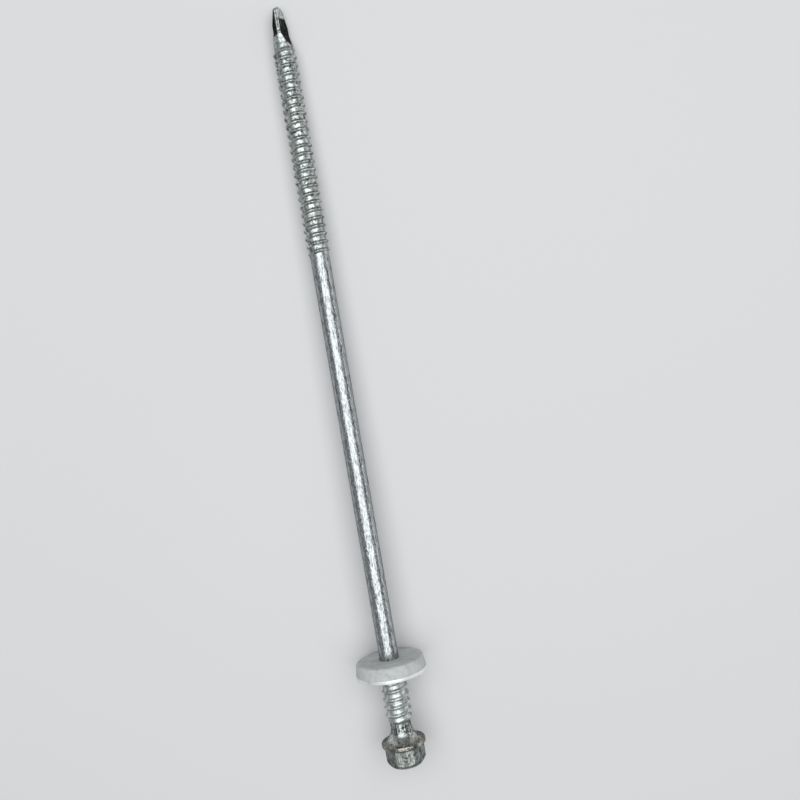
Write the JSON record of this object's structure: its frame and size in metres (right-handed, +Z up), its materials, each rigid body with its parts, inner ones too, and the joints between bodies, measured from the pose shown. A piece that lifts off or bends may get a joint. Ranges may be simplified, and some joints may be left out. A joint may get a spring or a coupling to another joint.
{
  "type": "self drilling screw",
  "caption": "Long self drilling screw with a hex flange head, drill point, drill thread, support thread and a sealing washer that slides on its plain shank.",
  "frame": {"origin": "middle of the bounding box, on the floor under the lying screw", "axes": "+X from the drill point towards the head, along the floor; +Z up; the screw's own axis rises from the point to the head by 2.23 degrees"},
  "size_m": [0.1714, 0.016, 0.016],
  "materials": {
    "zinc_steel": "bright zinc plate on drawn, rolled and forged steel, with fine lengthwise drawing marks",
    "washer_steel": "zinc plated sheet, slightly dull",
    "seal_rubber": "matt light grey moulded rubber"
  },
  "bodies": {
    "screw": {"screw": "zinc_steel"},
    "washer": {"washer_plate": "washer_steel", "sealing_ring": "seal_rubber"}
  },
  "joints": [
    {"name": "washer_slide", "type": "slide", "parent": "screw", "child": "washer", "axis": [-0.9992, 0, -0.0389], "range_m": [0, 0.0907]}
  ]
}
